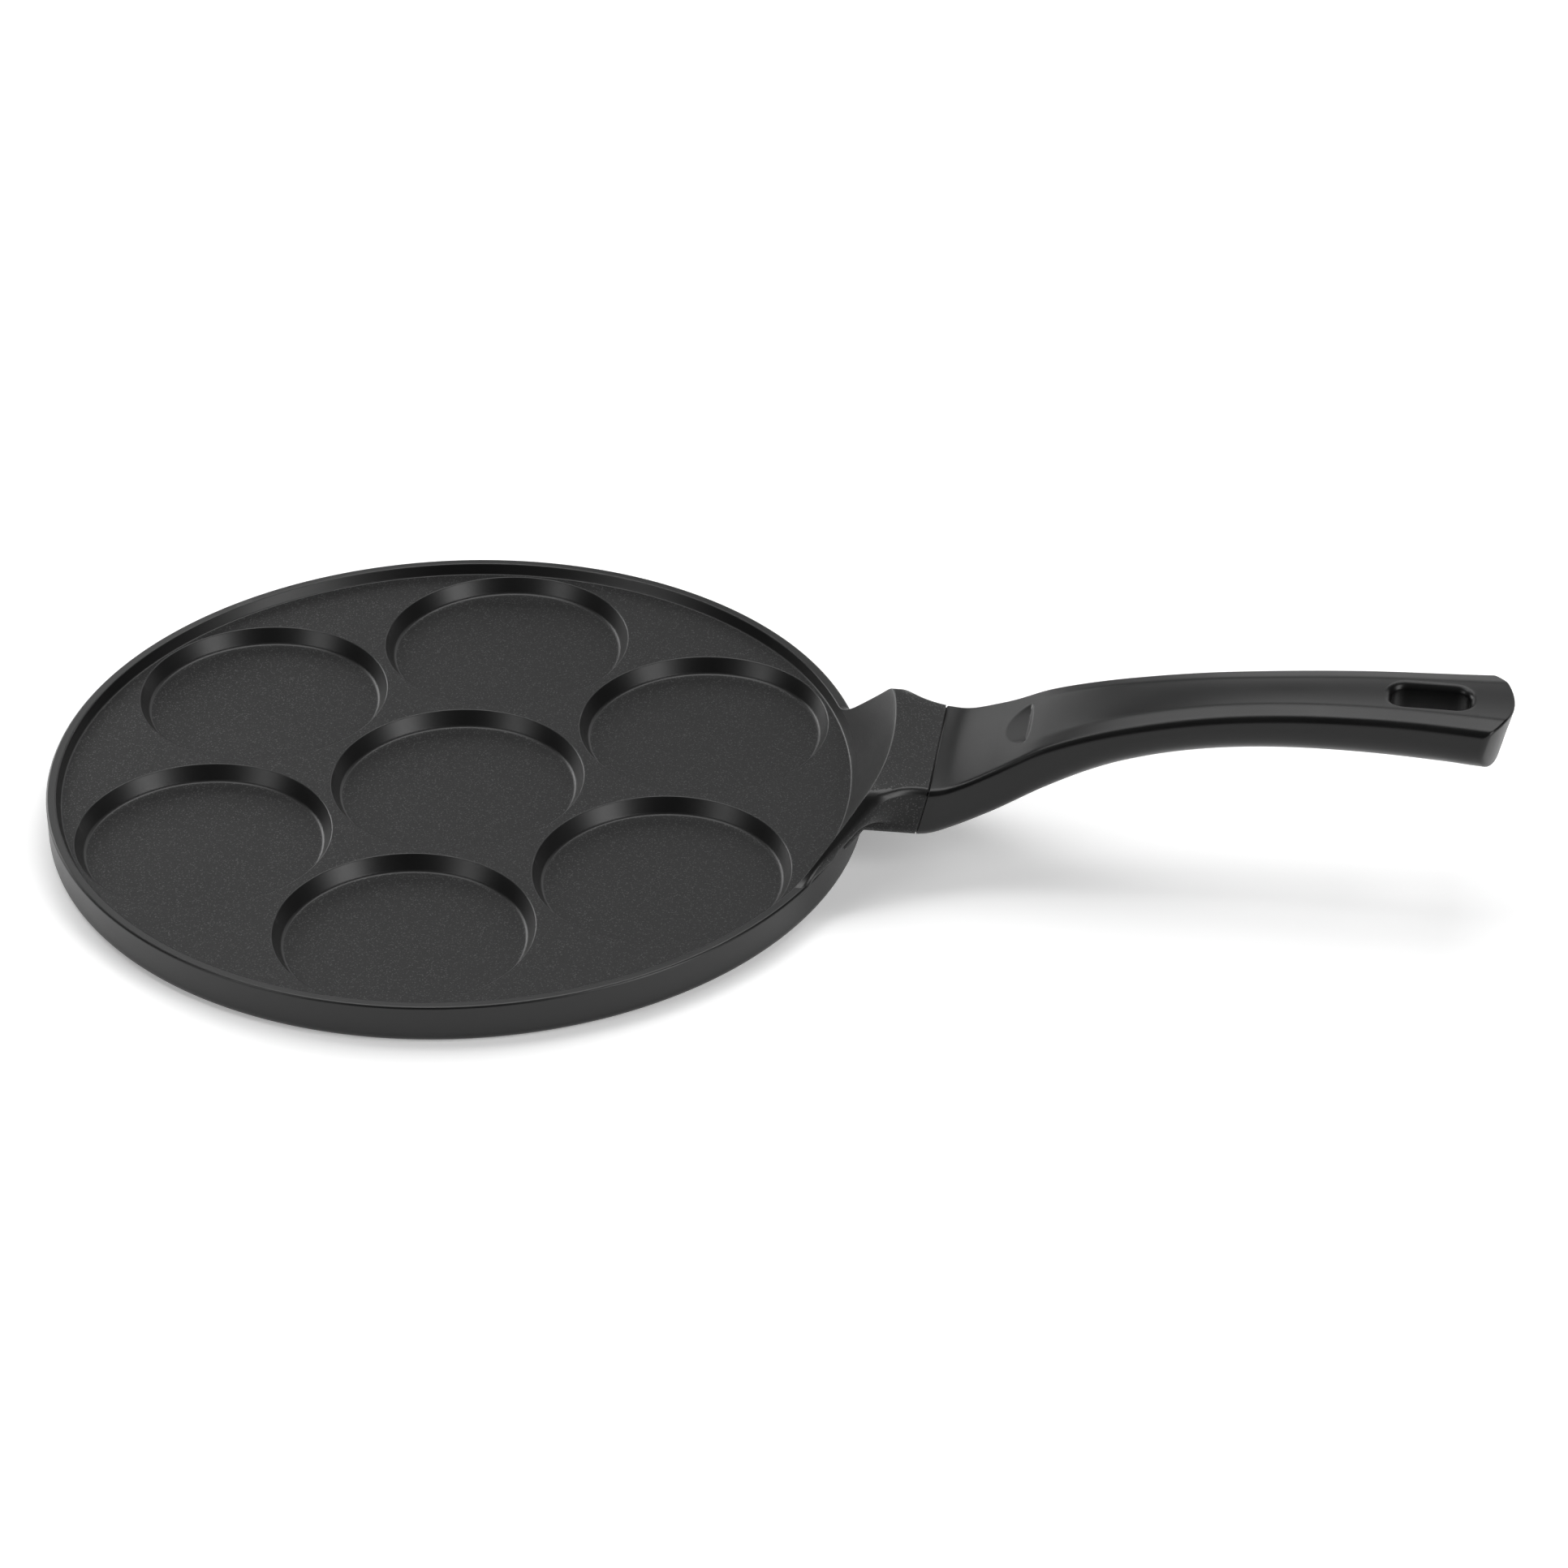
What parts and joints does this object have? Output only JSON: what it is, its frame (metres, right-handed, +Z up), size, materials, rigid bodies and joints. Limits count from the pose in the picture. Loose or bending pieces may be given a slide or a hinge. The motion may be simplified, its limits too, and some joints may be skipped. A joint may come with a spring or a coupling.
{
  "type": "pancake pan",
  "caption": "Shallow round cast pan with round wells in its plate for small pancakes, a raised lug at the rim and a long curved fixed handle with a hang slot.",
  "frame": {"origin": "centre of the flat base, on the floor that the pan stands on", "axes": "+Z up out of the wells, +X from the pan along the handle, Y across"},
  "size_m": [0.4607, 0.26, 0.0655],
  "materials": {
    "pan_coating": "die-cast aluminium under a black non-stick coating with fine pale flecks",
    "phenolic": "satin black moulded phenolic",
    "zinc_steel": "bright zinc plate",
    "spring_steel": "dull phosphated spring steel"
  },
  "bodies": {
    "root": {"pan_body": "pan_coating", "handle_grip": "phenolic", "handle_screw": "zinc_steel", "lock_washer": "spring_steel", "threaded_bush": "zinc_steel"}
  },
  "joints": []
}
